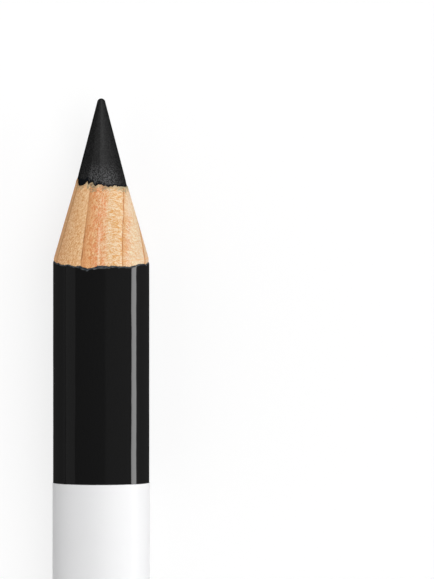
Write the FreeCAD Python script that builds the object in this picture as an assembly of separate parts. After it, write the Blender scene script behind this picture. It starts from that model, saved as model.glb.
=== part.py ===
import FreeCAD, Part
import math
import os

from FreeCAD import Vector

# Double-ended eyeliner pencil, lying along Y with its point towards +Y.
# It is built about its own axis, with the holder's shoulder at y = 0, and moved at the
# end so that the origin is at the bottom centre of its bounding box. Millimetres.

# Barrel: two wooden slats round a soft lead, black coat, white band
barrel_diameter = 8.0
barrel_length = 108.0          # shoulder to the sharpened tip
black_coat = 0.06
white_coat = 0.05
white_edge_round = 0.02
front_black_length = 18.46     # from the sharpened edge to the white band
rear_black_length = 18.35      # from the shoulder to the white band
seam_angle = 23.0              # the glue plane's turn about the axis, degrees

# Lead, slightly off the barrel's centre as the groove runs. It is heavier than the wood,
# so the pencil comes to rest with the lead's side straight down.
lead_diameter = 4.2
lead_offset_z = -0.10

# Sharpened point, cut a little off the barrel's axis
tip_radius = 0.34
lead_half_angle = 14.6         # degrees
wood_half_angle = 16.2         # degrees
cut_length = 13.5              # tip to where the cut would leave the barrel's surface
cut_offset_z = -0.12

# Chipped edge of the coat behind the cut
chip_depth = 0.30              # how far the coat has broken back on average
chip_wave = 0.07               # amplitude of the slow waves
chip_tooth = 0.035             # amplitude of the small teeth
chip_half_angle = 20.0         # slope of the broken edge, degrees

# Tenon at the rear end, and the socket it is glued into
tenon_diameter = 6.4
tenon_length = 7.0
tenon_chamfer = 0.3
socket_gap = 0.05
socket_spare_depth = 0.3

# Holder: one black moulding
collar_diameter = 8.08
collar_height = 0.30
collar_chamfer = 0.05
bead_diameter = 8.66
bead_length = 1.65
holder_diameter = 8.08
straight_length = 11.20        # bead to the corner of the taper
taper_length = 6.40
taper_end_diameter = 5.06
corner_round = 9.0
end_edge_chamfer = 0.15
holder_wall = 1.0
end_wall = 1.6
stem_diameter = 1.8
stem_length = 4.2
stem_chamfer = 0.3
holder_turn = 36.0             # how far it is turned on the tenon as it is glued, degrees

# Foam tip
foam_base_diameter = 5.12
foam_belly_diameter = 6.0
foam_belly_height = 2.40       # from the holder's end face
foam_length = 6.35

# Worked out from the sizes above
barrel_r = barrel_diameter / 2
wood_r = barrel_r - black_coat
lead_r = lead_diameter / 2
tenon_r = tenon_diameter / 2
socket_r = tenon_r + socket_gap
bead_r = bead_diameter / 2
tan_wood = math.tan(math.radians(wood_half_angle))
cut_edge_y = barrel_length - cut_length
wood_apex_y = cut_edge_y + barrel_r / tan_wood
band_front_y = cut_edge_y - front_black_length
holder_end_y = -(collar_height + bead_length + straight_length + taper_length)
foam_end_y = holder_end_y - foam_length
AXIS = Vector(0, 1, 0)
cut_axis = Vector(0, 0, cut_offset_z)


def revolve(edges, centre=Vector(0, 0, 0)):
    """Solid turned from a closed profile drawn in the XY plane, about the line along Y."""
    turned = Part.Face(Part.Wire(edges)).revolve(Vector(0, 0, 0), AXIS, 360)
    turned = Part.Solid(turned) if turned.ShapeType == "Shell" else turned
    turned.translate(centre)
    return turned


def line(x1, y1, x2, y2):
    return Part.LineSegment(Vector(x1, y1, 0), Vector(x2, y2, 0)).toShape()


def polyline(points):
    return [line(*a, *b) for a, b in zip(points, points[1:])]


def arc(start, middle, end):
    return Part.Arc(Vector(*start, 0), Vector(*middle, 0), Vector(*end, 0)).toShape()


def rod(radius, y_from, y_to, z=0.0):
    return Part.makeCylinder(radius, y_to - y_from, Vector(0, y_from, z), AXIS)


def lead_point():
    """Long cone ending in a small ball, wider than the lead at its base."""
    half = math.radians(lead_half_angle)
    touch_r = tip_radius * math.cos(half)
    touch_y = barrel_length - tip_radius * (1 - math.sin(half))
    base_r = barrel_r
    base_y = touch_y - (base_r - touch_r) / math.tan(half)
    mid = (math.pi / 2 + half) / 2
    ball_y = barrel_length - tip_radius
    on_ball = (tip_radius * math.cos(mid), ball_y + tip_radius * math.sin(mid))
    tip = (0.0, barrel_length)
    rear_y = -tenon_length - 1
    edges = [arc(tip, on_ball, (touch_r, touch_y))]
    edges += polyline([(touch_r, touch_y), (base_r, base_y), (base_r, rear_y), (0, rear_y), tip])
    return revolve(edges, cut_axis)


def lead():
    core = rod(lead_r, -tenon_length, barrel_length, lead_offset_z)
    return core.common(lead_point())


def wood_case():
    """Both slats as one turned body: barrel, tenon and sharpened cone, bored for the lead."""
    barrel = rod(wood_r, 0, wood_apex_y)
    chamfer = tenon_chamfer
    tenon = revolve(polyline([
        (0, 0), (tenon_r, 0), (tenon_r, chamfer - tenon_length),
        (tenon_r - chamfer, -tenon_length), (0, -tenon_length), (0, 0)]))
    reach = barrel_diameter
    base_y = wood_apex_y - reach / tan_wood
    cone = revolve(polyline([
        (0, wood_apex_y), (reach, base_y), (reach, base_y - 1), (0, base_y - 1), (0, wood_apex_y)]),
        cut_axis)
    sharpened = barrel.common(cone.fuse(rod(reach, -1, base_y)))
    bore = rod(lead_r, -2 * tenon_length, wood_apex_y, lead_offset_z)
    return sharpened.fuse(tenon).removeSplitter().cut(bore)


def slats():
    """The case split along its glue plane, left and right as seen from above."""
    case = wood_case()
    reach = barrel_diameter
    half = Part.makeBox(reach, barrel_length + 2 * tenon_length, 2 * reach,
                        Vector(0, -1.5 * tenon_length, -reach))
    half.rotate(Vector(0, 0, 0), AXIS, -seam_angle)
    right = case.common(half)
    left = case.cut(half)
    return left.Solids[0], right.Solids[0]


def chip_edge(angle, radius):
    """Height of the coat's broken edge at an angle round the barrel, at a given radius."""
    s, c = math.sin(angle), math.cos(angle)
    from_cut_axis = math.hypot(wood_r * c, wood_r * s - cut_offset_z)
    clean_edge = wood_apex_y - from_cut_axis / tan_wood
    wave = chip_wave * (math.sin(2 * angle + 0.6) + 0.6 * math.sin(5 * angle + 2.1))
    tooth = chip_tooth * (math.sin(13 * angle + 0.4) + 0.7 * math.sin(21 * angle + 1.7))
    slope = (radius - wood_r) / math.tan(math.radians(chip_half_angle))
    return clean_edge - chip_depth - wave - tooth - slope


def chip_curve(radius, steps=72):
    """Closed curve round the barrel at one radius, following the broken edge."""
    points = []
    for i in range(steps):
        angle = 2 * math.pi * i / steps
        points.append(Vector(radius * math.cos(angle), chip_edge(angle, radius),
                             radius * math.sin(angle)))
    curve = Part.BSplineCurve()
    curve.interpolate(Points=points, PeriodicFlag=True)
    return curve.toShape()


def black_lacquer():
    tube = rod(barrel_r, 0, barrel_length).cut(rod(wood_r, 0, barrel_length))
    inner = chip_curve(wood_r - 4 * black_coat)
    outer = chip_curve(barrel_r + 4 * black_coat)
    broken = Part.makeRuledSurface(inner, outer).extrude(AXIS * barrel_length)
    return tube.cut(broken)


def white_lacquer_band():
    r_in, r_out, edge = barrel_r, barrel_r + white_coat, white_edge_round
    return revolve(polyline([
        (r_in, rear_black_length), (r_out - edge, rear_black_length),
        (r_out, rear_black_length + edge), (r_out, band_front_y - edge),
        (r_out - edge, band_front_y), (r_in, band_front_y), (r_in, rear_black_length)]))


def stem_profile():
    """Half outline of the stem, from the holder's end face to its tip; the foam's hole has it too."""
    stem_r = stem_diameter / 2
    stem_end = holder_end_y - stem_length
    return [(stem_r, holder_end_y), (stem_r, stem_end + stem_chamfer),
            (stem_r - stem_chamfer, stem_end), (0, stem_end)]


def smudger_holder():
    """Moulding turned from one profile: collar, bead, cylinder, taper, stem and socket."""
    collar_r, body_r, end_r = collar_diameter / 2, holder_diameter / 2, taper_end_diameter / 2
    bead_y = -collar_height - bead_length / 2
    bead_end = -collar_height - bead_length
    corner_y = bead_end - straight_length
    lean = math.atan2(body_r - end_r, taper_length)
    setback = corner_round * math.tan(lean / 2)
    blend_start = (body_r, corner_y + setback)
    blend_end = (body_r - setback * math.sin(lean), corner_y - setback * math.cos(lean))
    middle = (body_r - corner_round * (1 - math.cos(lean / 2)),
              corner_y + setback - corner_round * math.sin(lean / 2))
    soft = end_edge_chamfer
    side_end = (end_r + soft * math.sin(lean), holder_end_y + soft * math.cos(lean))
    face_start = (end_r - soft, holder_end_y)
    socket_end = -tenon_length - socket_spare_depth
    hollow_r = body_r - holder_wall
    hollow_turn_y = corner_y
    hollow_end_y = holder_end_y + end_wall
    hollow_end_r = hollow_r - (hollow_turn_y - hollow_end_y) * math.tan(lean)
    chamfer = collar_chamfer
    edges = polyline([(socket_r, 0), (collar_r - chamfer, 0), (collar_r, -chamfer),
                      (collar_r, -collar_height)])
    edges += [arc((collar_r, -collar_height), (bead_r, bead_y), (body_r, bead_end)),
              line(body_r, bead_end, *blend_start),
              arc(blend_start, middle, blend_end),
              line(*blend_end, *side_end)]
    edges += polyline([side_end, face_start] + stem_profile() + [
                       (0, hollow_end_y), (hollow_end_r, hollow_end_y),
                       (hollow_r, hollow_turn_y), (hollow_r, socket_end),
                       (socket_r, socket_end), (socket_r, 0)])
    holder = revolve(edges)
    holder.rotate(Vector(0, 0, 0), AXIS, holder_turn)
    return holder


def belly_arc(end, belly):
    """Arc that leaves the widest point of the foam level with the axis and ends at a point."""
    rise, fall = abs(end[1] - belly[1]), belly[0] - end[0]
    radius = (fall * fall + rise * rise) / (2 * fall)
    half = math.asin(rise / radius) / 2
    side = 1 if end[1] > belly[1] else -1
    middle = (belly[0] - radius * (1 - math.cos(half)), belly[1] + side * radius * math.sin(half))
    return arc(end, middle, belly)


def foam_tip():
    """Egg-shaped foam, widest below its middle, with a blind hole for the stem."""
    base = (foam_base_diameter / 2, holder_end_y)
    belly = (foam_belly_diameter / 2, holder_end_y - foam_belly_height)
    nose = (0.0, foam_end_y)
    hole = stem_profile()
    edges = [line(*hole[0], *base), belly_arc(base, belly), belly_arc(nose, belly),
             line(*nose, *hole[-1])]
    return revolve(edges + polyline(hole[::-1]))


def build():
    left, right = slats()
    return {
        "lead": lead(),
        "wood_slat_left": left,
        "wood_slat_right": right,
        "black_lacquer": black_lacquer(),
        "white_lacquer_band": white_lacquer_band(),
        "smudger_holder": smudger_holder(),
        "foam_tip": foam_tip(),
    }


os.makedirs("parts", exist_ok=True)
to_row_frame = Vector(0, -(barrel_length + foam_end_y) / 2, bead_r)
for name, shape in build().items():
    shape = shape.Solids[0] if len(shape.Solids) == 1 else shape
    shape.translate(to_row_frame)
    box = shape.BoundBox
    print(name, "valid", shape.isValid(), "solids", len(shape.Solids), "volume", round(shape.Volume, 3),
          "y", round(box.YMin, 3), round(box.YMax, 3), "z", round(box.ZMin, 3), round(box.ZMax, 3))
    shape.exportStep("parts/%s.step" % name)
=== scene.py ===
import math
from types import SimpleNamespace

import bpy
import numpy as np
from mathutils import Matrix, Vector, noise


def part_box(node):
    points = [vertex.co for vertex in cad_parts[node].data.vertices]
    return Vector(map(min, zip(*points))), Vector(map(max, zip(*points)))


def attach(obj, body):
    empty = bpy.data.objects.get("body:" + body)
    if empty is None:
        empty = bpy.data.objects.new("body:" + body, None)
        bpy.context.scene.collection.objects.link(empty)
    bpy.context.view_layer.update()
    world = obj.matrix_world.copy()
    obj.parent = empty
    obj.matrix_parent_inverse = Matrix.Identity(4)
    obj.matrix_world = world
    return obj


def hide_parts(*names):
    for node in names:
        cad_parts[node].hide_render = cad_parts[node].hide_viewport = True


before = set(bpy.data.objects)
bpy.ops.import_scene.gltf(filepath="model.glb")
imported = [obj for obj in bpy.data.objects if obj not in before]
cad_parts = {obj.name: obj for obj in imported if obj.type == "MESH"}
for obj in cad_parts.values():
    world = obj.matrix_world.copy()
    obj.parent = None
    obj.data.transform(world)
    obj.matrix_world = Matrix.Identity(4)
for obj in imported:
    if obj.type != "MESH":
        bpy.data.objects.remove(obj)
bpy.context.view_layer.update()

# The lead: one soft rod of black pigment wax in the bore of the case. The sharpener's knife cut
# its front to a long cone of flat strokes with a rounded tip, and the base of the cone is
# crumbled where the wood's torn edge begins. Its colour holds painted sheen on the top strokes,
# painted shade towards the sides, and painted shade in the crumbled groove at the torn edge.
MM = 0.001                          # the pencil's own sizes are in millimetres
coat_low, coat_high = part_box("black_lacquer")
axis_height = (coat_low.z + coat_high.z) / 2 / MM
lead_low, lead_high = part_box("lead")
lead_r = (lead_high.x - lead_low.x) / 2 / MM
lead_x = (lead_high.x + lead_low.x) / 2 / MM
lead_z = (lead_high.z + lead_low.z) / 2 / MM - axis_height
lead_rear, lead_tip = lead_low.y / MM, lead_high.y / MM
cut_z = -0.12                       # the cut's axis lies a little under the barrel's
tip_radius = 0.34
lead_half_angle = math.radians(14.6)
stroke_edges = [-172, -141, -118, -88, -57, -28, -2, 33, 61, 92, 124, 158]  # degrees from the top
stroke_flatness = 0.6
flats_from, flats_full = 0.25, 0.7  # the cone's radii between which the strokes turn flat
core_from, core_full = 0.05, 0.35   # depths behind the torn edge where the round core takes over
# The torn edge goes round the lead from below, as pairs of degrees from the top and station.
torn_edge = [(-180, 59.80), (-150, 59.92), (-120, 59.98), (-100, 60.14), (-84, 60.34), (-73, 60.16),
             (-66, 59.84), (-60, 59.74), (-54, 59.62), (-48, 59.62), (-42, 59.67), (-36, 59.78),
             (-32, 60.00), (-28, 59.70), (-24, 59.83), (-20, 59.91), (-16, 59.70), (-12, 59.51),
             (-7, 59.69), (0, 59.73), (5, 59.58), (11, 59.60), (16, 59.46), (23, 59.58),
             (26, 59.52), (33, 59.68), (38, 59.56), (53, 59.58), (66, 59.52), (85, 59.62),
             (105, 59.56), (140, 59.70), (180, 59.80)]
lead_columns, ball_steps, cone_steps = 256, 15, 178
cone_end = 58.9                     # behind the torn edge all round
core_stations = [58.0, 53.0, 40.0, 0.0, -40.0]
crumb_depth, crumb_size = 0.018, 0.14
crumbs_ahead, crumbs_under = (0.5, 0.25), (-0.06, 0.02)   # where they begin, off the torn edge
scrape_depth, scrape_size = 0.004, 0.12
scrape_ahead = (0.0, 0.1)
least_wear = -0.001


def around(count):
    """Angles round the pencil in degrees, from its underside, left of the top negative."""
    return np.linspace(-180, 180, count, endpoint=False)


def ragged(degrees, seed, counts, amount):
    """Small waves round the pencil, as a torn or chipped edge has, with whole counts a turn."""
    rng = np.random.default_rng(seed)
    total = np.zeros_like(degrees, dtype=float)
    for count in counts:
        wave = np.sin(np.radians(degrees) * count + rng.uniform(0, 2 * math.pi))
        total += amount * wave * rng.uniform(0.6, 1.0)
    return total


def wood_front(degrees):
    """Station of the wood's torn front edge round the lead."""
    angles, stations = zip(*torn_edge)
    return np.interp(degrees, angles, stations) + ragged(degrees, 4, (53, 71, 97, 131), 0.021)


def from_cut_axis(degrees, radius, x, z):
    """Distance from the cut's axis to a circle whose centre lies beside it."""
    u, v = np.sin(np.radians(degrees)), np.cos(np.radians(degrees))
    along = x * u + (z - cut_z) * v
    return along + np.sqrt(radius ** 2 - x ** 2 - (z - cut_z) ** 2 + along ** 2)


def soft_step(value, start, end):
    """Rises smoothly from 0 at start to 1 at end."""
    t = np.clip((value - start) / (end - start), 0, 1)
    return t * t * (3 - 2 * t)


def lead_surface(station, degrees):
    """Distance of the lead's surface from the cut's axis: ball tip, cut cone, then round core."""
    ball_y = lead_tip - tip_radius
    apex_y = ball_y + tip_radius / math.sin(lead_half_angle)
    ball = np.sqrt(np.maximum(tip_radius ** 2 - (station - ball_y) ** 2, 0))
    cone = (apex_y - station) * math.tan(lead_half_angle)
    cut = np.where(station > ball_y + tip_radius * math.sin(lead_half_angle), ball, cone)
    edges = np.array(stroke_edges, float)
    turned = np.mod(degrees - edges[0], 360) + edges[0]
    place = np.searchsorted(edges, turned, side="right") - 1
    begin = edges[place]
    end = np.append(edges[1:], edges[0] + 360)[place]
    middle, half = np.radians((begin + end) / 2), np.radians((end - begin) / 2)
    flat = np.cos(half) / np.cos(np.radians(turned) - middle)
    cut = cut * (1 - stroke_flatness * soft_step(cut, flats_from, flats_full) * (1 - flat))
    core = from_cut_axis(degrees, lead_r, lead_x, lead_z)
    behind = soft_step(wood_front(degrees) - station, core_from, core_full)
    return cut * (1 - behind) + core * behind


def place_round(radius, station, degrees):
    """Points round the cut's axis, in millimetres in the pencil's own frame."""
    radius, station, degrees = np.broadcast_arrays(radius, station, degrees)
    turn = np.radians(degrees)
    return np.stack([radius * np.sin(turn), station, cut_z + radius * np.cos(turn)], axis=-1)


def grid_mesh(name, rows, closed=False, sharp=35):
    """Smooth mesh from rows of points that each close on themselves. The rows' two ends are
    filled by fans, or joined to each other if the piece is a ring. Gives the object in metres."""
    count, across, _ = rows.shape
    here = np.arange(count if closed else count - 1)[:, None] * across
    beyond = (np.arange(count if closed else count - 1)[:, None] + 1) % count * across
    column = np.arange(across)[None, :]
    beside = (column + 1) % across
    quads = np.stack([here + column, here + beside, beyond + beside, beyond + column], axis=-1)
    faces = quads.reshape(-1, 4).tolist()
    points = rows.reshape(-1, 3)
    if not closed:
        ends = np.stack([rows[0].mean(axis=0), rows[-1].mean(axis=0)])
        points = np.concatenate([points, ends])
        first, last = count * across, count * across + 1
        tail = (count - 1) * across
        faces += [[first, (k + 1) % across, k] for k in range(across)]
        faces += [[last, tail + k, tail + (k + 1) % across] for k in range(across)]
    a, b, c, d = (points[quads.reshape(-1, 4)[:, k]] for k in range(4))
    volume = np.einsum("ij,ij->", a, np.cross(b, c)) + np.einsum("ij,ij->", a, np.cross(c, d))
    if volume < 0:
        faces = [face[::-1] for face in faces]
    mesh = bpy.data.meshes.new(name)
    mesh.from_pydata(((points + (0, 0, axis_height)) * MM).tolist(), [], faces)
    mesh.shade_smooth()
    mesh.set_sharp_from_angle(angle=math.radians(sharp))
    piece = bpy.data.objects.new(name, mesh)
    bpy.context.scene.collection.objects.link(piece)
    return piece


def mark(piece, name, values):
    """Keeps one number for each point of a piece, for its material to read."""
    numbers = np.zeros(len(piece.data.vertices), np.float32)
    numbers[:values.size] = values.reshape(-1)
    piece.data.attributes.new(name, "FLOAT", "POINT").data.foreach_set("value", numbers)


def noise_at(points, size):
    """Soft noise between about -1 and 1 at points in millimetres, with cells of one size."""
    values = [noise.noise(Vector(point)) for point in points.reshape(-1, 3) / size]
    return np.array(values).reshape(points.shape[:-1])


def fit(piece, material, node_name):
    """Gives a finished piece its material, its body and the solid that it stands for."""
    piece.data.materials.append(material)
    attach(piece, "root")
    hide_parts(node_name)


def put(tree, kind, inputs=None, **settings):
    """Adds a shader node; an input is a plain value or another node's output."""
    made = tree.nodes.new("ShaderNode" + kind)
    for key, value in settings.items():
        setattr(made, key, value)
    for key, value in (inputs or {}).items():
        if isinstance(value, bpy.types.NodeSocket):
            tree.links.new(value, made.inputs[key])
        else:
            made.inputs[key].default_value = value
    return made


def sums(tree, operation, *values):
    """One step of arithmetic on values that change over the surface."""
    return put(tree, "Math", dict(enumerate(values)), operation=operation).outputs[0]


def ease(tree, value, start, end, low=0.0, high=1.0):
    """Value eased from low at start to high at end."""
    inputs = {"Value": value, "From Min": start, "From Max": end, "To Min": low, "To Max": high}
    return put(tree, "MapRange", inputs, interpolation_type="SMOOTHSTEP").outputs[0]


def clouds(tree, vector, scale, detail, roughness=0.5):
    """Cloudy noise from 0 to 1."""
    inputs = {"Vector": vector, "Scale": scale, "Detail": detail, "Roughness": roughness}
    return put(tree, "TexNoise", inputs).outputs["Fac"]


def shades(tree, value, stops):
    """Colour that runs through stops of (value, colour) and is even beyond the first and last."""
    low, high = stops[0][0], stops[-1][0]
    scaled = put(tree, "MapRange", {"Value": value, "From Min": low, "From Max": high}).outputs[0]
    made = put(tree, "ValToRGB", {"Fac": scaled})
    while len(made.color_ramp.elements) < len(stops):
        made.color_ramp.elements.new(0.5)
    for element, (at, colour) in zip(made.color_ramp.elements, stops):
        element.position = (at - low) / (high - low)
        shade = (colour,) * 3 if isinstance(colour, (int, float)) else colour
        element.color = (*shade, 1)
    return made.outputs[0]


def blended(tree, amount, first, second):
    """Two colours mixed by an amount that changes over the surface."""
    made = put(tree, "Mix", {0: amount}, data_type="RGBA")
    for index, colour in ((6, first), (7, second)):
        if isinstance(colour, bpy.types.NodeSocket):
            tree.links.new(colour, made.inputs[index])
        else:
            made.inputs[index].default_value = (*colour, 1)
    return made.outputs[2]


def new_group(name, inputs, outputs):
    """Empty shader group with named sockets; gives the group, its inputs and its output node."""
    tree = bpy.data.node_groups.new(name, "ShaderNodeTree")
    kinds = {"value": "NodeSocketFloat", "vector": "NodeSocketVector"}
    for label, kind in inputs:
        tree.interface.new_socket(name=label, in_out="INPUT", socket_type=kinds[kind])
    for label, kind in outputs:
        tree.interface.new_socket(name=label, in_out="OUTPUT", socket_type=kinds[kind])
    return tree, tree.nodes.new("NodeGroupInput").outputs, tree.nodes.new("NodeGroupOutput")


def pencil_place_group():
    """Where a point is on the pencil: millimetres from the axis, angle from the top, radius."""
    tree, _, out = new_group("pencil place", [],
                             [("Millimetres", "vector"), ("Angle", "value"), ("Radius", "value")])
    metres = put(tree, "TexCoord").outputs["Object"]
    scaled = put(tree, "VectorMath", {0: metres, 1: (1 / MM,) * 3}, operation="MULTIPLY").outputs[0]
    centred = put(tree, "VectorMath", {0: scaled, 1: (0, 0, axis_height)},
                  operation="SUBTRACT").outputs[0]
    split = put(tree, "SeparateXYZ", {0: centred}).outputs
    angle = sums(tree, "DEGREES", sums(tree, "ARCTAN2", split[0], split[2]))
    squares = sums(tree, "MULTIPLY_ADD", split[0], split[0], sums(tree, "POWER", split[2], 2.0))
    tree.links.new(centred, out.inputs["Millimetres"])
    tree.links.new(angle, out.inputs["Angle"])
    tree.links.new(sums(tree, "SQRT", squares), out.inputs["Radius"])
    return tree


def grain_group():
    """Fine grain: specks of one width and of one length along the pencil, leaning if wanted."""
    tree, given, out = new_group(
        "grain", [("Millimetres", "vector"), ("Width", "value"), ("Length", "value"),
                  ("Lean", "value"), ("Softness", "value")], [("Mask", "value")])
    split = put(tree, "SeparateXYZ", {0: given["Millimetres"]}).outputs
    sideways = sums(tree, "MULTIPLY", split[1], given["Lean"])
    vector = put(tree, "CombineXYZ", {
        0: sums(tree, "DIVIDE", sums(tree, "SUBTRACT", split[0], sideways), given["Width"]),
        1: sums(tree, "DIVIDE", split[1], given["Length"]),
        2: sums(tree, "DIVIDE", split[2], given["Width"])}).outputs[0]
    cells = clouds(tree, vector, 1.0, 2.0, 0.55)
    low = sums(tree, "SUBTRACT", 0.5, given["Softness"])
    high = sums(tree, "ADD", 0.5, given["Softness"])
    tree.links.new(ease(tree, cells, low, high), out.inputs["Mask"])
    return tree


place_on_pencil = pencil_place_group()
grain = grain_group()


def new_material(name):
    """Material with its surface shader and the outputs of the pencil place group."""
    made = bpy.data.materials.new(name)
    made.use_nodes = True
    surface = made.node_tree.nodes["Principled BSDF"]
    place = put(made.node_tree, "Group", node_tree=place_on_pencil).outputs
    return made, made.node_tree, surface, place


def grained(tree, place, width, length, lean=0.0, softness=0.12):
    """Mask of the grain group, with specks of this width and length in millimetres."""
    return put(tree, "Group", {"Millimetres": place["Millimetres"], "Width": width,
                               "Length": length, "Lean": lean, "Softness": softness},
               node_tree=grain).outputs["Mask"]


def strokes_sheen_and_dust(tree, place, speck):
    """Painted sheen and shade on the wax: lighter on the top strokes, darker towards the sides. Grey dust
    near the wood, strongest on the top strokes, where it also stands for painted sheen.
    """
    # Painted sheen and shade: the stroke colour is lighter on top and darker at the sides.
    stroke_sheen_shade = shades(tree, place["Angle"], [
        (-180, 0.012), (-90, 0.010), (-60, 0.0125), (-44, 0.0105), (-30, 0.0120), (-27, 0.0185),
        (-17, 0.0205), (-4, 0.0225), (-2, 0.032), (9, 0.034), (15, 0.029), (27, 0.0235),
        (31, 0.0200), (44, 0.0165), (50, 0.0125), (72, 0.0095), (110, 0.010), (180, 0.012)])
    station = put(tree, "SeparateXYZ", {0: place["Millimetres"]}).outputs[1]
    near_base = ease(tree, station, 61.9, 60.2)
    # Dust near the wood, painted strongest on the top strokes as sheen.
    top_dust_and_sheen = shades(tree, place["Angle"], [(-180, 0.3), (-60, 0.1), (-36, 0.2), (-28, 1.0), (24, 1.0),
                                           (36, 0.75), (46, 0.4), (60, 0.08), (180, 0.3)])
    dust_and_sheen = sums(tree, "MULTIPLY_ADD", sums(tree, "MULTIPLY", near_base, top_dust_and_sheen), 0.72, 0.12)
    return blended(tree, sums(tree, "MULTIPLY", dust_and_sheen, speck), stroke_sheen_shade, (0.105, 0.105, 0.108))


def lead_wax():
    """Matt black wax. At the wood's torn edge the crumbled groove is painted near black as shade."""
    made, tree, surface, place = new_material("pigment wax")
    speck = grained(tree, place, 0.10, 0.115, softness=0.07)
    sheened_dusted = strokes_sheen_and_dust(tree, place, speck)
    to_wood = put(tree, "Attribute", attribute_name="to_wood").outputs["Fac"]
    shade_reach_grain = grained(tree, place, 0.16, 0.14, softness=0.2)
    reach = shades(tree, place["Angle"], [(-180, 0.2), (-64, 0.3), (-56, 0.5), (-38, 0.42), (-26, 0.16),
                                          (8, 0.13), (14, 0.05), (60, 0.02), (180, 0.2)])
    reach = sums(tree, "MULTIPLY_ADD", shade_reach_grain, 0.18, reach)
    # Painted shade: the crumbled groove at the wood's torn edge painted near black.
    dark = ease(tree, sums(tree, "SUBTRACT", to_wood, reach), 0.06, -0.05)
    colour = blended(tree, dark, sheened_dusted, (0.0075, 0.0088, 0.011))
    tree.links.new(colour, surface.inputs["Base Color"])
    surface.inputs["Roughness"].default_value = 0.65
    surface.inputs["Specular IOR Level"].default_value = 0.0
    bump = put(tree, "Bump", {"Height": speck, "Distance": 0.012 * MM, "Strength": 0.6})
    tree.links.new(bump.outputs[0], surface.inputs["Normal"])
    return made


angles = around(lead_columns)
ball_turn = np.linspace(math.pi / 2, lead_half_angle, ball_steps)[1:]
ball_rows = lead_tip - tip_radius + tip_radius * np.sin(ball_turn)
cone_rows = np.linspace(ball_rows[-1], cone_end, cone_steps)[1:]
core_rows = np.array(core_stations + [lead_rear])
lead_rows = np.concatenate([ball_rows, cone_rows, core_rows])[:, None]
lead_radius = lead_surface(lead_rows, angles[None, :])
ahead_of_wood = lead_rows - wood_front(angles)[None, :]
lead_points = place_round(lead_radius, lead_rows, angles[None, :])
in_crumbs = soft_step(ahead_of_wood, *crumbs_ahead) * soft_step(ahead_of_wood, *crumbs_under)
worn = crumb_depth * in_crumbs * (1 + noise_at(lead_points, crumb_size))
worn += scrape_depth * soft_step(ahead_of_wood, *scrape_ahead) * noise_at(lead_points, scrape_size)
lead_points = place_round(lead_radius - np.maximum(worn, least_wear), lead_rows, angles[None, :])
lead = grid_mesh("lead_cut", lead_points)
mark(lead, "to_wood", ahead_of_wood)
fit(lead, lead_wax(), "lead")

# The wooden case: two slats of pale, curly softwood, each with half of the lead's groove, glued
# along one plane and turned round. The sharpener cut their front to a cone whose end is torn
# round the lead and smeared with its pigment; the rear is turned down to a tenon.
wood_half_angle = math.radians(16.2)
seam_angle = 23.0                   # the glue plane's turn to the left of the top
wood_r = 3.94
barrel_r = (coat_high.x - coat_low.x) / 2 / MM
cut_length = 13.5                   # tip to where the cut would leave the barrel's surface
wood_apex = lead_tip - cut_length + barrel_r / math.tan(wood_half_angle)
shoulder = coat_low.y / MM
tenon_r, tenon_chamfer = 3.2, 0.3
round_stations = [0.0, 40.0, 52.0, 52.5, 53.0]
slat_steps, cut_steps = 180, 150
torn_wall = 0.012                   # the wood that is left at the torn edge
seam_fall, seam_width = 0.02, 0.7   # depth of the fine groove at the glue, and degrees it takes


def slat_points(start):
    """Rows of points of one slat, whose arc starts at an angle and goes half way round."""
    outer_turn = start + np.linspace(0, 180, slat_steps + 1)
    turn = np.mod(outer_turn + 180, 360) - 180
    from_seam = np.minimum(outer_turn - start, start + 180 - outer_turn)
    front = wood_front(turn)
    corner = wood_apex - from_cut_axis(turn, wood_r, 0, 0) / math.tan(wood_half_angle)
    rows = []

    def add(station, outer):
        inner = lead_surface(station, turn)
        fall = seam_fall * soft_step(from_seam, seam_width, 0.0)
        out = place_round(np.maximum(outer, inner + torn_wall) - fall, station, outer_turn)
        back = place_round(inner, station, outer_turn)
        rows.append(np.concatenate([out, back[::-1]]))

    outline = [(lead_rear, tenon_r - tenon_chamfer), (lead_rear + tenon_chamfer, tenon_r),
               (shoulder, tenon_r), (shoulder, wood_r)]
    outline += [(station, wood_r) for station in round_stations]
    for station, radius in outline:
        add(station, from_cut_axis(turn, radius, 0, 0))
    for t in np.linspace(0, 1, cut_steps):
        station = corner + (front - corner) * t
        add(station, (wood_apex - station) * math.tan(wood_half_angle))
    return np.array(rows), front


def wood_marks(tree, place):
    """What both slats are drawn with: the place on the pencil, the distance from the glue plane,
    a slow wander of the rings, and dashes, specks and a mottle."""
    x, y, z = put(tree, "SeparateXYZ", {0: place["Millimetres"]}).outputs
    seam_x, seam_z = math.cos(math.radians(seam_angle)), math.sin(math.radians(seam_angle))
    off_seam = sums(tree, "MULTIPLY_ADD", x, seam_x, sums(tree, "MULTIPLY", z, seam_z))
    wander = sums(tree, "MULTIPLY_ADD", clouds(tree, place["Millimetres"], 0.55, 2.0), 0.16, -0.08)
    return SimpleNamespace(x=x, y=y, z=z, off_seam=off_seam, wander=wander,
                           dash=grained(tree, place, 0.09, 0.24, 0.45, 0.09),
                           speck=grained(tree, place, 0.085, 0.10, 0.3, 0.07),
                           mottle=grained(tree, place, 0.28, 0.42, 0.35, 0.12))


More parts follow.
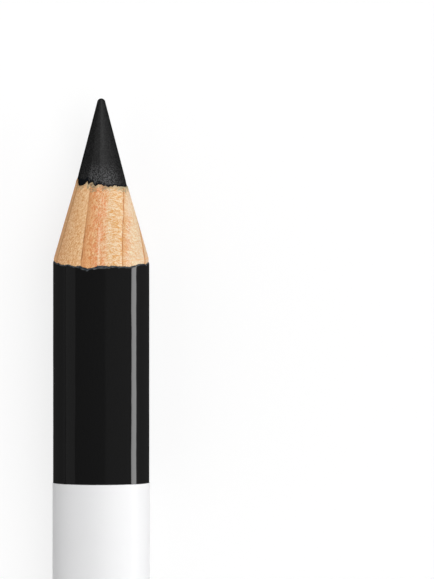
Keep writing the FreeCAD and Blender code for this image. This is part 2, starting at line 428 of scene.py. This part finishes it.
def tan_figure(tree, wood):
    """The left slat: an even tan with short strokes, and a thin late ring near the top."""
    light = shades(tree, wood.off_seam, [(-3.0, (0.98, 0.66, 0.38)), (-0.5, (0.98, 0.69, 0.395)),
                                         (-0.22, (0.98, 0.70, 0.42)), (0.0, (0.97, 0.68, 0.40))])
    dark = shades(tree, wood.off_seam, [(-3.0, (0.70, 0.275, 0.085)), (-0.5, (0.71, 0.285, 0.078)),
                                        (0.0, (0.78, 0.41, 0.17))])
    mottled = sums(tree, "MULTIPLY_ADD", wood.mottle, 0.16, -0.08)
    strokes = sums(tree, "MULTIPLY_ADD", wood.dash, 0.48, mottled)
    strokes = sums(tree, "MULTIPLY_ADD", wood.speck, 0.42, strokes)
    figure = blended(tree, strokes, light, dark)
    edge_line = sums(tree, "ADD", sums(tree, "MULTIPLY_ADD", wood.x, 0.36, wood.z), wood.wander)
    late = shades(tree, edge_line, [(-1.6, 0.3), (-0.3, 0.25), (0.0, 0.1), (0.10, 0.3), (0.18, 0.75),
                                    (0.30, 0.75), (0.42, 0.0), (1.4, 0.0)])
    return blended(tree, late, figure, (0.60, 0.27, 0.095))


def curls(tree, place, wood, ring):
    """Short curly strokes that arch across the cream rings, and fall the other way outside."""
    arch = sums(tree, "MULTIPLY", sums(tree, "POWER", sums(tree, "SUBTRACT", ring, 1.1), 2.0), 0.3)
    warp = clouds(tree, place["Millimetres"], 1.3, 1.0)
    lifted = sums(tree, "MULTIPLY_ADD", warp, 0.7, sums(tree, "ADD", wood.y, arch))
    curl = put(tree, "CombineXYZ", {0: sums(tree, "MULTIPLY", ring, 2.6),
                                    1: sums(tree, "MULTIPLY", lifted, 7.6),
                                    2: sums(tree, "MULTIPLY", wood.z, 0.6)}).outputs[0]
    curly = ease(tree, clouds(tree, curl, 1.0, 3.0, 0.62), 0.42, 0.60)
    falling = grained(tree, place, 0.10, 0.36, -0.5, 0.10)
    forward = ease(tree, wood.y, 55.8, 57.6, 0.25, 1.0)
    outside = sums(tree, "MULTIPLY", ease(tree, ring, 2.1, 2.4), forward)
    curly = put(tree, "Mix", {0: outside, 2: curly, 3: falling}).outputs[0]
    return sums(tree, "MULTIPLY_ADD", curly, 0.62, sums(tree, "MULTIPLY_ADD", wood.dash, 0.22, -0.12))


def ringed_strokes(tree, place, wood, ring):
    """The right slat's strokes: dashes and long streaks in its orange, curls in its cream."""
    in_cream = shades(tree, ring, [(0.2, 0.0), (0.55, 0.35), (0.95, 0.9), (2.05, 1.0), (2.1, 0.8),
                                   (2.6, 0.9), (3.2, 0.75), (4.2, 0.6)])
    mottled = sums(tree, "MULTIPLY_ADD", wood.mottle, 0.26, -0.08)
    dashes = sums(tree, "MULTIPLY_ADD", wood.dash, 0.52, mottled)
    across = curls(tree, place, wood, ring)
    strokes = put(tree, "Mix", {0: in_cream, 2: dashes, 3: across}).outputs[0]
    streak = grained(tree, place, 0.11, 5.0, 0.0, 0.08)
    in_orange = shades(tree, ring, [(-1.6, 0.4), (-0.3, 0.4), (0.5, 0.1), (0.9, 0.0)])
    strokes = sums(tree, "MULTIPLY_ADD", sums(tree, "SUBTRACT", streak, 0.5), in_orange, strokes)
    return sums(tree, "MULTIPLY_ADD", wood.speck, 0.42, strokes)


def patched(tree, place, wood, ring, figure):
    """Patches between the right slat's rings: pink blotches in the orange and two pale stripes."""
    blotch = grained(tree, place, 0.42, 0.5, 0.3, 0.08)
    pink = shades(tree, ring, [(-0.7, 0.0), (-0.3, 0.5), (0.1, 0.65), (0.55, 0.5), (0.9, 0.0)])
    blotch = sums(tree, "MULTIPLY", blotch, ease(tree, wood.dash, 0.0, 1.0, 0.35, 1.0))
    figure = blended(tree, sums(tree, "MULTIPLY", pink, blotch), figure, (0.80, 0.27, 0.11))
    pale = shades(tree, ring, [(0.08, 0.0), (0.17, 0.65), (0.25, 0.65), (0.34, 0.0)])
    pale = sums(tree, "MULTIPLY", pale, ease(tree, wood.y, 56.6, 55.4))
    pale = sums(tree, "MULTIPLY", pale, ease(tree, wood.speck, 0.0, 1.0, 1.0, 0.45))
    figure = blended(tree, pale, figure, (0.91, 0.71, 0.50))
    upper = shades(tree, ring, [(2.08, 0.0), (2.16, 0.42), (2.5, 0.38), (2.9, 0.0)])
    upper = sums(tree, "MULTIPLY", upper, ease(tree, wood.y, 56.7, 57.7))
    upper = sums(tree, "MULTIPLY", upper, ease(tree, wood.dash, 0.0, 1.0, 1.0, 0.6))
    return blended(tree, upper, figure, (0.85, 0.74, 0.55))


def late_rings(tree, place, wood, ring, figure):
    """The right slat's late rings: a dark line with barbs, one near the edge, one at the glue."""
    slanted = sums(tree, "MULTIPLY_ADD", ring, 0.35, wood.y)
    barb_place = put(tree, "CombineXYZ", {0: ring, 1: sums(tree, "MULTIPLY", slanted, 8.0)}).outputs[0]
    barbs = ease(tree, clouds(tree, barb_place, 1.0, 1.0), 0.52, 0.66)
    near_line = shades(tree, ring, [(2.1, 0.0), (2.16, 0.8), (2.5, 0.6), (2.95, 0.0)])
    barbs = sums(tree, "MULTIPLY", barbs, near_line)
    barbs = sums(tree, "MULTIPLY", barbs, ease(tree, wood.y, 58.0, 57.2))
    figure = blended(tree, barbs, figure, (0.72, 0.34, 0.13))
    line_place = sums(tree, "MULTIPLY_ADD", sums(tree, "SUBTRACT", wood.z, 3.0), -0.045, ring)
    ring_line = shades(tree, line_place, [(2.03, 0.0), (2.06, 1.0), (2.11, 1.0), (2.16, 0.15),
                                          (2.30, 0.0)])
    uneven = ease(tree, grained(tree, place, 0.5, 0.5, 0.0, 0.12), 0.0, 1.0, 0.6, 1.0)
    figure = blended(tree, sums(tree, "MULTIPLY", ring_line, uneven), figure, (0.53, 0.20, 0.065))
    outer_line = sums(tree, "SUBTRACT", sums(tree, "MULTIPLY_ADD", wood.z, -0.44, wood.x), 3.012)
    outer_late = shades(tree, outer_line, [(-0.09, 0.0), (-0.04, 1.0), (0.05, 1.0), (0.12, 0.4),
                                           (0.6, 0.2)])
    figure = blended(tree, outer_late, figure, (0.56, 0.24, 0.08))
    by_glue = shades(tree, wood.off_seam, [(0.0, 0.7), (0.16, 0.6), (0.3, 0.3), (0.6, 0.0)])
    return blended(tree, by_glue, figure, (0.66, 0.30, 0.12))


def ringed_figure(tree, place, wood):
    """The right slat: rings that run from a dark line through orange to cream."""
    ring = sums(tree, "ADD", sums(tree, "MULTIPLY_ADD", wood.z, 0.0775, wood.x), wood.wander)
    light = shades(tree, ring, [
        (-4.2, (0.92, 0.60, 0.34)), (-1.3, (0.93, 0.56, 0.28)), (-0.3, (0.87, 0.58, 0.31)),
        (0.15, (0.86, 0.62, 0.39)), (0.6, (0.86, 0.64, 0.41)), (0.95, (0.835, 0.675, 0.47)),
        (2.04, (0.835, 0.685, 0.48)), (2.14, (0.80, 0.56, 0.32)), (2.45, (0.83, 0.735, 0.535)),
        (2.8, (0.815, 0.73, 0.535)), (4.2, (0.82, 0.725, 0.54))])
    dark = shades(tree, ring, [
        (-4.2, (0.72, 0.33, 0.12)), (-1.3, (0.71, 0.245, 0.07)), (-0.3, (0.67, 0.227, 0.063)),
        (0.15, (0.68, 0.22, 0.045)), (0.6, (0.68, 0.24, 0.06)), (1.0, (0.69, 0.32, 0.085)),
        (2.04, (0.69, 0.32, 0.085)), (2.14, (0.60, 0.27, 0.08)), (2.45, (0.66, 0.25, 0.095)),
        (2.8, (0.70, 0.385, 0.18)), (4.2, (0.70, 0.40, 0.21))])
    figure = blended(tree, ringed_strokes(tree, place, wood, ring), light, dark)
    figure = patched(tree, place, wood, ring, figure)
    return late_rings(tree, place, wood, ring, figure)


def glued(tree, place, wood, figure):
    """The broken dark line of the glue, and the orange corner where the cut meets the coat."""
    glue = shades(tree, sums(tree, "ABSOLUTE", wood.off_seam), [(0.0, 1.0), (0.05, 0.9), (0.09, 0.0)])
    broken_glue = ease(tree, grained(tree, place, 0.6, 0.9, 0.0, 0.1), 0.0, 1.0, 0.25, 1.0)
    broken_glue = sums(tree, "MULTIPLY", broken_glue, ease(tree, wood.y, 56.6, 55.2, 0.25, 1.0))
    figure = blended(tree, sums(tree, "MULTIPLY", glue, broken_glue), figure, (0.50, 0.20, 0.07))
    corner = shades(tree, place["Radius"], [(3.89, 0.0), (3.905, 0.4), (3.92, 0.4), (3.935, 0.0)])
    return blended(tree, corner, figure, (0.80, 0.40, 0.16))


def smeared(tree, place, figure):
    """Pigment that the knife rubbed off the lead on to the wood's torn end."""
    behind_lead = put(tree, "Attribute", attribute_name="behind_lead").outputs["Fac"]
    smear_length = shades(tree, place["Angle"], [
        (-180, 0.3), (-62, 0.3), (-32, 0.35), (-24, 0.8), (-12, 0.7), (-6, 0.45), (6, 0.5), (14, 0.3),
        (40, 0.3), (58, 0.55), (180, 0.3)])
    patchy = grained(tree, place, 0.2, 0.26, 0.0, 0.2)
    smear_reach = sums(tree, "MULTIPLY_ADD", patchy, smear_length, 0.09)
    smear = ease(tree, sums(tree, "SUBTRACT", behind_lead, smear_reach), 0.16, -0.16)
    rubbed = shades(tree, place["Angle"], [
        (-180, 0.5), (-62, 0.35), (-36, 0.4), (-28, 0.75), (-16, 0.85), (-10, 0.55), (2, 0.45), (10, 0.7),
        (20, 0.5), (40, 0.55), (55, 0.85), (90, 0.8), (180, 0.5)])
    spots = shades(tree, place["Angle"], [
        (-180, 0.3), (-34, 0.1), (-28, 0.6), (-22, 0.9), (-14, 0.8), (-9, 0.2), (0, 0.2), (7, 0.55),
        (16, 0.2), (40, 0.25), (60, 0.5), (180, 0.3)])
    spots = sums(tree, "MULTIPLY", spots, grained(tree, place, 0.17, 0.17, 0.0, 0.10))
    pigment = blended(tree, spots, (0.36, 0.325, 0.20), (0.095, 0.09, 0.065))
    return blended(tree, sums(tree, "MULTIPLY", smear, rubbed), figure, pigment)


def cut_wood(name, side):
    """Matt cut wood with the figure of one slat, its glue line and the lead's smear."""
    made, tree, surface, place = new_material(name)
    wood = wood_marks(tree, place)
    figure = tan_figure(tree, wood) if side == "left" else ringed_figure(tree, place, wood)
    figure = smeared(tree, place, glued(tree, place, wood, figure))
    tree.links.new(figure, surface.inputs["Base Color"])
    surface.inputs["Roughness"].default_value = 0.62
    surface.inputs["Specular IOR Level"].default_value = 0.12
    bump = put(tree, "Bump", {"Height": wood.dash, "Distance": 0.012 * MM, "Strength": 0.5})
    tree.links.new(bump.outputs[0], surface.inputs["Normal"])
    return made


for side, start in (("left", 180 - seam_angle), ("right", -seam_angle)):
    points, front = slat_points(start)
    slat = grid_mesh("cut_slat_" + side, points)
    behind = np.concatenate([front, front[::-1]])[None, :] - points[:, :, 1]
    mark(slat, "behind_lead", behind)
    fit(slat, cut_wood("wood " + side, side), "wood_slat_" + side)

# The black lacquer: a coat sprayed in many thin layers over the turned wood. The sharpener cut
# through it, so that its front ends in a matt, chipped slope; the rest is a deep, clear gloss.
coat_edge = [(-180, 53.21), (-140, 53.29), (-110, 53.38), (-84, 53.46), (-76, 53.38), (-67, 53.24),
             (-61, 53.25), (-56, 53.12), (-46, 53.08), (-42, 53.13), (-38, 53.07), (-35, 53.00),
             (-31, 52.96), (-25, 53.02), (-21, 52.90), (-14, 52.78), (-9, 52.85), (-6, 52.88),
             (-3, 53.00), (3, 53.01), (8, 52.99), (11, 52.94), (14, 53.01), (18, 53.00),
             (22, 52.96), (27, 52.95), (32, 52.96), (38, 52.92), (42, 53.00), (47, 53.03),
             (53, 53.16), (67, 53.18), (71, 53.13), (78, 53.28), (88, 53.34), (120, 53.27),
             (150, 53.13), (180, 53.21)]
slope_length = [(-180, 0.14), (-60, 0.13), (-30, 0.13), (-22, 0.24), (-14, 0.20), (-9, 0.12),
                (-4, 0.22), (6, 0.22), (11, 0.13), (60, 0.12), (180, 0.14)]
worn_lip = [(0.06, 0.0), (0.03, 0.001), (0.012, 0.003), (0.0, 0.008)]   # back from the slope, fall
slope_steps = 8
bare_from, bare_full = 3.994, 3.989  # radii between which the slope loses the gloss
coat_angles = around(480)
band_low, band_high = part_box("white_lacquer_band")
band_rear, band_front = band_low.y / MM, band_high.y / MM
rear_step, front_step = 0.4, 0.3
uneven_end, whole_end = 52.3, 52.4  # last uneven row, and the last row behind all the chips
inside_stations = [52.3, 45.0, 0.0]
wave_height, wave_size, wave_stretch = 0.006, 1.1, 0.3
ripple_height, ripple_size = 0.0014, 0.34


def coat_waves(radius, station):
    """The coat's outside with its faint unevenness, which makes the gloss line waver."""
    points = place_round(radius, station, coat_angles)
    slow = noise_at(points * (1, wave_stretch, 1), wave_size)
    fine = noise_at(points, ripple_size)
    return radius + wave_height * slow + ripple_height * fine


def round_barrel(radius, station, degrees):
    """Points round the barrel's own axis, in millimetres."""
    return place_round(radius, station, degrees) - (0, 0, cut_z)


def coat_points():
    """Rows of the coat: along its outside, down the chipped slope and back along its inside."""
    inner_edge = np.interp(coat_angles, *zip(*coat_edge)) + ragged(coat_angles, 7, (67, 97, 131), 0.010)
    slope = np.interp(coat_angles, *zip(*slope_length)) + ragged(coat_angles, 9, (37, 59, 83), 0.012)
    outer_edge = inner_edge - slope
    lip_fall = worn_lip[-1][1]
    outline = [(barrel_r, shoulder)]
    for station in np.concatenate([np.arange(shoulder + rear_step, band_rear, rear_step),
                                   np.arange(band_front, uneven_end, front_step)]):
        outline.append((coat_waves(barrel_r, station), station))
    outline.append((barrel_r, whole_end))
    outline += [(barrel_r - fall, outer_edge - back) for back, fall in worn_lip]
    outline += [(barrel_r - lip_fall - (barrel_r - wood_r - lip_fall) * t, outer_edge + slope * t)
                for t in np.linspace(0.1, 1, slope_steps)]
    outline += [(wood_r, station) for station in inside_stations + [shoulder]]
    return np.array([round_barrel(radius, station, coat_angles) for radius, station in outline])


def facing_gloss(tree, stops):
    """Strength of a clear gloss by how it is seen: 0 is straight on and 1 is along the surface."""
    slant = put(tree, "LayerWeight", {"Blend": 0.5}).outputs["Facing"]
    return shades(tree, slant, stops)


def black_gloss():
    """Near black lacquer under a clear gloss. The gloss is weak where it is seen at a slant, as
    on a coat with a fine haze, and the slope that the knife opened is bare and bluish."""
    made, tree, surface, place = new_material("black lacquer")
    patch = grained(tree, place, 0.3, 0.12, 0.0, 0.12)
    broken = blended(tree, patch, (0.022, 0.031, 0.040), (0.085, 0.09, 0.095))
    bare = ease(tree, place["Radius"], bare_from, bare_full)
    colour = blended(tree, bare, (0.0062, 0.0062, 0.0063), broken)
    tree.links.new(colour, surface.inputs["Base Color"])
    clear = facing_gloss(tree, [(0.0, 1.0), (0.316, 1.0), (0.332, 0.14), (0.37, 0.13), (0.40, 0.10),
                                (0.6, 0.06), (0.8, 0.03), (1.0, 0.02)])
    tree.links.new(sums(tree, "MULTIPLY", clear, sums(tree, "SUBTRACT", 1.0, bare)),
                   surface.inputs["Coat Weight"])
    tree.links.new(ease(tree, bare, 0.0, 1.0, 0.4, 0.75), surface.inputs["Roughness"])
    surface.inputs["Specular IOR Level"].default_value = 0.0
    surface.inputs["Coat Roughness"].default_value = 0.012
    return made


black_coat = grid_mesh("black_coat", coat_points(), closed=True)
fit(black_coat, black_gloss(), "black_lacquer")

# The white band: a thick white coat rolled over the black on the middle of the barrel, masked at
# both ends, where the paint stands in a fine rounded ridge.
band_r = (band_high.x - band_low.x) / 2 / MM
ridge = [(barrel_r, 0.0), (band_r - 0.02, 0.0), (band_r - 0.006, 0.006), (band_r + 0.004, 0.02),
         (band_r + 0.006, 0.045), (band_r + 0.002, 0.09), (band_r - 0.004, 0.14),
         (band_r - 0.003, 0.2), (band_r, 0.3)]
band_stations = [0.0, 20.0]


def turned_rows(outline, columns):
    """Rows of points of an outline of (radius, station), turned round the barrel's axis."""
    turn = around(columns)
    return np.array([round_barrel(radius, station, turn) for radius, station in outline])


def band_outline():
    """Outline of the band's outside, with a ridge at each end."""
    outline = [(radius, band_rear + inset) for radius, inset in ridge]
    outline += [(band_r, station) for station in band_stations]
    return outline + [(radius, band_front - inset) for radius, inset in reversed(ridge)]


def white_gloss():
    """White lacquer, very slightly cloudy, with a thin and soft gloss."""
    made, tree, surface, place = new_material("white lacquer")
    cloud = clouds(tree, place["Millimetres"], 0.35, 2.0)
    colour = blended(tree, cloud, (0.816, 0.816, 0.824), (0.836, 0.836, 0.842))
    tree.links.new(colour, surface.inputs["Base Color"])
    surface.inputs["Roughness"].default_value = 0.45
    surface.inputs["Specular IOR Level"].default_value = 0.1
    clear = facing_gloss(tree, [(0.0, 0.12), (0.310, 0.12), (0.34, 0.03), (1.0, 0.02)])
    tree.links.new(clear, surface.inputs["Coat Weight"])
    surface.inputs["Coat Roughness"].default_value = 0.06
    return made


white_band = grid_mesh("white_band", turned_rows(band_outline(), 384), closed=True, sharp=60)
fit(white_band, white_gloss(), "white_lacquer_band")

# The smudger's holder: one glossy black moulding pushed and glued on the barrel's tenon, with a
# thin collar, a round bead that stops the cap, a cylinder, a taper and a stem for the foam.
holder_low, holder_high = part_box("smudger_holder")
foam_low, foam_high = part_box("foam_tip")
bead_r = (holder_high.x - holder_low.x) / 2 / MM
holder_end = foam_high.y / MM
collar_r, collar_height, collar_chamfer = 4.04, 0.30, 0.05
bead_length, body_r, straight_length = 1.65, 4.04, 11.20
taper_end_r, corner_round, end_chamfer = 2.53, 9.0, 0.15
socket_r, socket_depth, holder_wall, end_wall = 3.25, 7.3, 1.0, 1.6
stem_r, stem_chamfer = 0.9, 0.3
stem_end = holder_low.y / MM
bead_steps, corner_steps = 44, 24
straight_gap = 0.02                 # from the straight side's last ring to the bead
hollow_ring_r = 0.5                 # the innermost ring on the hollow's floor


def arc_points(centre, radius, start, end, steps):
    """Points (radius from the axis, station) on an arc of the outline."""
    turn = np.linspace(math.radians(start), math.radians(end), steps)
    return [(centre[0] + radius * math.cos(t), centre[1] + radius * math.sin(t)) for t in turn]


def holder_outline():
    """Half outline from the stem's tip, over the outside, to the bottom of the hollow."""
    bead_top = shoulder - collar_height
    bead_bottom = bead_top - bead_length
    corner = bead_bottom - straight_length
    lean = math.atan2(body_r - taper_end_r, corner - holder_end)
    setback = corner_round * math.tan(lean / 2)
    outline = [(stem_r - stem_chamfer, stem_end), (stem_r, stem_end + stem_chamfer),
               (stem_r, holder_end), (taper_end_r - end_chamfer, holder_end),
               (taper_end_r + end_chamfer * math.sin(lean), holder_end + end_chamfer * math.cos(lean))]
    outline += arc_points((body_r - corner_round, corner + setback), corner_round,
                          -math.degrees(lean), 0, corner_steps)
    outline += [(body_r, corner / 2 + bead_bottom / 2), (body_r, bead_bottom - straight_gap)]
    outline += [(body_r + (bead_r - body_r) * math.cos(t),
                 bead_top - bead_length / 2 * (1 - math.sin(t)))
                for t in np.linspace(-math.pi / 2, math.pi / 2, bead_steps)]
    outline += [(collar_r, shoulder - collar_chamfer), (collar_r - collar_chamfer, shoulder),
                (socket_r, shoulder), (socket_r, shoulder - socket_depth),
                (body_r - holder_wall, shoulder - socket_depth), (body_r - holder_wall, corner)]
    hollow_end = holder_end + end_wall
    hollow_end_r = body_r - holder_wall - (corner - hollow_end) * math.tan(lean)
    return outline + [(hollow_end_r, hollow_end), (hollow_ring_r, hollow_end)]


def moulded_gloss():
    """Black polished plastic, deeper than the lacquer and a trace warm. Its gloss is weaker than
    the lacquer's, most of all where it is seen at a slant."""
    made, tree, surface, place = new_material("moulded gloss")
    haze = grained(tree, place, 1.6, 3.0, 0.0, 0.3)
    colour = blended(tree, haze, (0.0006, 0.0004, 0.0004), (0.0010, 0.0007, 0.0006))
    tree.links.new(colour, surface.inputs["Base Color"])
    surface.inputs["Roughness"].default_value = 0.35
    surface.inputs["Specular IOR Level"].default_value = 0.0
    clear = facing_gloss(tree, [(0.0, 0.30), (0.185, 0.30), (0.215, 0.56), (0.310, 0.56),
                                (0.334, 0.06), (0.5, 0.04), (0.8, 0.025), (1.0, 0.02)])
    tree.links.new(clear, surface.inputs["Coat Weight"])
    surface.inputs["Coat Roughness"].default_value = 0.02
    return made


holder = grid_mesh("smudger_moulding", turned_rows(holder_outline(), 320), sharp=30)
fit(holder, moulded_gloss(), "smudger_holder")

# The foam tip: an egg of fine open-pored black foam, cut and ground to shape and glued over the
# holder's stem. Its skin is all small cells, so the surface is pitted.
foam_r = (foam_high.x - foam_low.x) / 2 / MM
foam_base_r, belly_height = 2.56, 2.40
foam_nose = foam_low.y / MM
foam_columns, nose_steps, base_steps = 360, 150, 64
pore_size, pore_depth = 0.17, 0.055
small_pore = 0.55                   # the small pores' size against the wide ones'
wide_share, small_share = 0.62, 0.38
pore_narrowing = 1.5                # the larger, the more skin is left between the pores
pitted_from_r = 0.5                 # nearer the nose's point the pores fade out
least_r = 0.05


def side_arc(end_r, reach, steps):
    """Radius and angles of the foam's side, an arc that falls from the belly to end_r."""
    fall = foam_r - end_r
    radius = (fall ** 2 + reach ** 2) / (2 * fall)
    return radius, np.linspace(math.asin(reach / radius), 0, steps)


def foam_outline():
    """Half outline from the nose round the belly to the base."""
    belly = holder_end - belly_height
    nose_radius, nose_turn = side_arc(0.0, belly - foam_nose, nose_steps)
    outline = [(foam_r - nose_radius * (1 - math.cos(t)), belly - nose_radius * math.sin(t))
               for t in nose_turn][1:]
    base_radius, base_turn = side_arc(foam_base_r, belly_height, base_steps)
    outline += [(foam_r - base_radius * (1 - math.cos(t)), belly + base_radius * math.sin(t))
                for t in reversed(base_turn)][1:]
    return outline


def pit(point, size):
    """How far inside a pore a point lies: 0 on the skin between pores, 1 in a pore's middle."""
    nearest = noise.voronoi(Vector(point) / size)[0][0]
    return max(0.0, 1 - nearest * pore_narrowing)


def foam_points():
    """Rows of the foam: its skin pitted by pores of two sizes, then the stem's plain hole."""
    shape = turned_rows(foam_outline(), foam_columns)
    pores = [wide_share * pit(point, pore_size) + small_share * pit(point, pore_size * small_pore)
             for point in shape.reshape(-1, 3)]
    depth = pore_depth * np.array(pores).reshape(shape.shape[:2])
    radius = np.hypot(shape[:, :, 0], shape[:, :, 2])
    keep = soft_step(radius, 0.0, pitted_from_r)
    shrink = 1 - depth * keep / np.maximum(radius, least_r)
    shape[:, :, 0] *= shrink
    shape[:, :, 2] *= shrink
    hole = [(stem_r, holder_end), (stem_r, stem_end + stem_chamfer), (stem_r - stem_chamfer, stem_end)]
    return np.concatenate([shape, turned_rows(hole, foam_columns)])


def pored_foam():
    """Matt black foam. Its cell walls carry grey specks, partly its own grain and partly a painted
    highlight where the walls would catch the light; its pores carry painted shade, and it is painted
    darker towards its nose as shade.
    """
    made, tree, surface, place = new_material("pored foam")
    speck = grained(tree, place, 0.145, 0.145, 0.0, 0.03)
    fine = grained(tree, place, 0.11, 0.11, 0.0, 0.03)
    # Grey specks on the cell walls: partly the foam's own grain, partly painted highlight.
    wall_grain_and_highlight = sums(tree, "MULTIPLY_ADD", speck, 0.5, sums(tree, "MULTIPLY", fine, 0.5))
    wall_grain_and_highlight = ease(tree, wall_grain_and_highlight, 0.1, 1.0)
    colour = blended(tree, wall_grain_and_highlight, (0.0012, 0.0011, 0.0011), (0.045, 0.0433, 0.0422))
    # Painted shade in the pores.
    cells = put(tree, "TexVoronoi", {"Vector": place["Millimetres"], "Scale": 1 / pore_size})
    painted_pore_shade = ease(tree, cells.outputs["Distance"], 0.35, 0.1, 0.0, 0.8)
    colour = blended(tree, painted_pore_shade, colour, (0.0005, 0.0005, 0.0005))
    # Painted shade: the foam painted darker towards its nose, where the shape turns from the light.
    station = put(tree, "SeparateXYZ", {0: place["Millimetres"]}).outputs[1]
    nose = ease(tree, station, holder_end - 1.0, foam_nose, 0.0, 0.5)
    colour = blended(tree, nose, colour, (0.0015, 0.0013, 0.0012))
    tree.links.new(colour, surface.inputs["Base Color"])
    surface.inputs["Roughness"].default_value = 0.9
    surface.inputs["Specular IOR Level"].default_value = 0.0
    return made


foam = grid_mesh("foam_smudger", foam_points(), sharp=180)
fit(foam, pored_foam(), "foam_tip")

# The table under the pencil: a wide plain white sheet. It shows as white in the picture and in
# what the gloss mirrors, and it keeps the pencil's shadow. Its sizes are in metres.
table_half = 4.0
table_shade, table_glow = 0.22, 0.787


def sheet_piece(name, corners, material):
    """Flat piece of the studio from its four corners."""
    mesh = bpy.data.meshes.new(name)
    mesh.from_pydata(corners, [], [(0, 1, 2, 3)])
    mesh.materials.append(material)
    piece = bpy.data.objects.new(name, mesh)
    bpy.context.scene.collection.objects.link(piece)
    return piece


def studio_paint(name, shade):
    """Matt grey paint that can also glow white; gives its surface shader with it."""
    made = bpy.data.materials.new(name)
    made.use_nodes = True
    surface = made.node_tree.nodes["Principled BSDF"]
    surface.inputs["Base Color"].default_value = (shade, shade, shade, 1)
    surface.inputs["Specular IOR Level"].default_value = 0.0
    surface.inputs["Emission Color"].default_value = (1, 1, 1, 1)
    return made, surface


def white_table():
    """Pale sheet under the lamps, which glows white for the camera and in the gloss."""
    made, surface = studio_paint("white table", table_shade)
    surface.inputs["Roughness"].default_value = 1.0
    tree = made.node_tree
    path = put(tree, "LightPath").outputs
    seen = sums(tree, "MAXIMUM", path["Is Camera Ray"],
                sums(tree, "MAXIMUM", path["Is Glossy Ray"], path["Is Transmission Ray"]))
    tree.links.new(sums(tree, "MULTIPLY", seen, table_glow), surface.inputs["Emission Strength"])
    return made


sheet_piece("table", [(-table_half, -table_half, 0), (table_half, -table_half, 0),
                      (table_half, table_half, 0), (-table_half, table_half, 0)], white_table())

# The lamps: a wide soft key from the upper right, one low at the right and a weaker one at the
# left. Only the gloss mirrors the other two, a long upright strip at the right and a wide lamp
# beyond the point, and a grey card at the left. Their sizes are in metres.
strip_distance, strip_height, strip_length = 0.10, 0.0258, 0.7
card_distance, card_half, card_height, card_glow = -0.10, 1, 0.057, 0.2


def soft_sun(name, strength, spread, lean):
    """Wide lamp that lights the pencil and doesn't show in its gloss."""
    light = bpy.data.lights.new(name, "SUN")
    light.energy = strength
    light.angle = math.radians(spread)
    lamp = bpy.data.objects.new(name, light)
    lamp.rotation_euler = (0, math.radians(lean), 0)
    lamp.visible_glossy = False
    bpy.context.scene.collection.objects.link(lamp)


def mirrored_lamp(name, width, length, radiance, place, turn):
    """Flat lamp that shows in the gloss and lights nothing matt. The turn is in degrees."""
    light = bpy.data.lights.new(name, "AREA")
    light.shape = "RECTANGLE"
    light.size, light.size_y = width, length
    light.energy = math.pi * radiance * width * length
    lamp = bpy.data.objects.new(name, light)
    lamp.location = place
    lamp.rotation_euler = [math.radians(angle) for angle in turn]
    lamp.visible_camera = False
    lamp.visible_diffuse = False
    bpy.context.scene.collection.objects.link(lamp)


soft_sun("key", 1.94, 50, 20)
soft_sun("low right", 1.88, 50, 80)
soft_sun("left fill", 1.15, 80, -60)
mirrored_lamp("strip", strip_height, strip_length, radiance=3.95,
              place=(strip_distance, 0, strip_height / 2), turn=(0, 90, 0))
mirrored_lamp("far lamp", 0.50, 0.28, radiance=4.0, place=(0.03, 0.36, 0.36), turn=(-45, 0, 0))

card_paint, card_surface = studio_paint("grey card", 0)
card_surface.inputs["Emission Strength"].default_value = card_glow
card = sheet_piece("card", [(card_distance, -card_half, 0), (card_distance, card_half, 0),
                            (card_distance, card_half, card_height),
                            (card_distance, -card_half, card_height)], card_paint)
card.visible_camera = card.visible_diffuse = card.visible_shadow = card.visible_transmission = False

# The room round the table: dim, a little lighter towards the right, and white low down, as the
# table is. It fills the shadows softly and shows faintly in the gloss.
world = bpy.data.worlds.new("studio")
world.use_nodes = True
bpy.context.scene.world = world
sky = world.node_tree
direction = put(sky, "SeparateXYZ", {0: put(sky, "TexCoord").outputs["Generated"]}).outputs
room = shades(sky, direction[0], [(-1.0, 0.065), (0.15, 0.065), (0.25, 0.13), (1.0, 0.13)])
low = ease(sky, direction[2], 0.21, 0.10)
sky.links.new(blended(sky, low, room, (1.0, 1.0, 1.0)), sky.nodes["Background"].inputs["Color"])

# The camera looks straight down on the lying pencil, from the photograph's distance, with the
# sharpened end where the photograph has it and the white band running out of the lower edge.
camera_height = 0.3184
camera_x = 9.63 * MM
tip_below_top = 15.90 * MM          # from the picture's middle up to the tip
camera_data = bpy.data.cameras.new("camera")
camera_data.sensor_width = 36.0
camera_data.lens = 234.8
camera_data.clip_start = 0.01
camera_data.clip_end = 20.0
camera = bpy.data.objects.new("camera", camera_data)
camera.location = (camera_x, lead_tip * MM - tip_below_top, camera_height)
bpy.context.scene.collection.objects.link(camera)
bpy.context.scene.camera = camera
bpy.context.scene.view_settings.view_transform = "Standard"
